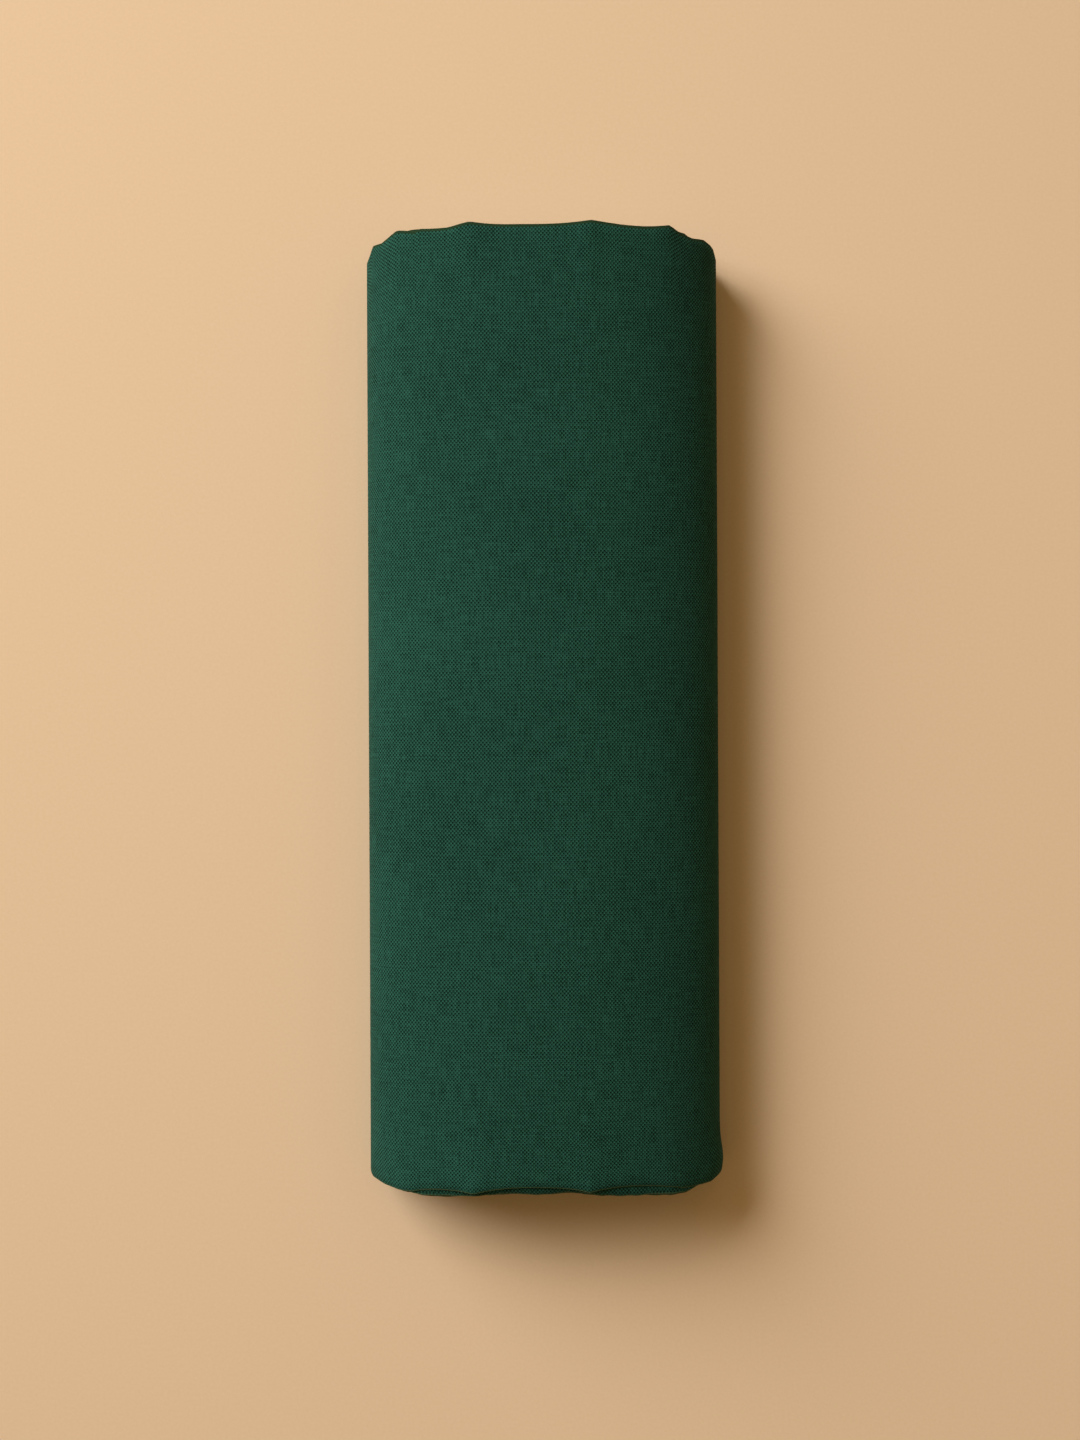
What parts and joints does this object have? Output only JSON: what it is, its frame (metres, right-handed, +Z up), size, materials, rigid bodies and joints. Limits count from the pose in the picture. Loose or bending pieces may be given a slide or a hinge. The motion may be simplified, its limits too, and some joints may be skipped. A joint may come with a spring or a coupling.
{
  "type": "fabric bolt",
  "caption": "Bolt of dark green plain-weave cloth, folded once and wound flat round a cardboard board, with a loose tail that lifts and a board that slides out.",
  "frame": {"origin": "on the floor under the middle of the bolt", "axes": "+Z up through the flat of the bolt; +Y along the bolt towards the fold of the cloth, -Y towards its selvedges and the label; +X towards the side that the tail lies on"},
  "size_m": [0.254, 0.686, 0.075],
  "materials": {
    "cloth": "matte",
    "white_board": "matte",
    "kraft_board": "matte",
    "label_paper": "matte"
  },
  "bodies": {
    "cloth": {"cloth_inner_turns": "cloth", "cloth_middle_turns": "cloth", "cloth_outer_turns": "cloth", "cloth_cover_turn": "cloth"},
    "tail": {"cloth_tail": "cloth"},
    "board": {"board_front_panel": "white_board", "board_back_panel": "white_board", "board_left_wall": "white_board", "board_right_wall": "white_board", "board_left_rib": "kraft_board", "board_centre_rib": "kraft_board", "board_right_rib": "kraft_board"},
    "label_flap": {"label_end_flap": "white_board", "end_label": "label_paper"},
    "fold_flap": {"fold_end_flap": "white_board"}
  },
  "joints": [
    {"name": "tail_lift", "type": "hinge", "parent": "cloth", "child": "tail", "pos_m": [0.103, 0, 0.05715], "axis": [0, -1, 0], "range_deg": [0, 110]},
    {"name": "board_slide", "type": "slide", "parent": "cloth", "child": "board", "axis": [0, -1, 0], "range_m": [0, 0.5]},
    {"name": "label_flap_fold", "type": "hinge", "parent": "board", "child": "label_flap", "pos_m": [0, -0.334, 0.0404], "axis": [-1, 0, 0], "range_deg": [0, 90]},
    {"name": "fold_flap_fold", "type": "hinge", "parent": "board", "child": "fold_flap", "pos_m": [0, 0.334, 0.0404], "axis": [1, 0, 0], "range_deg": [0, 90]}
  ]
}
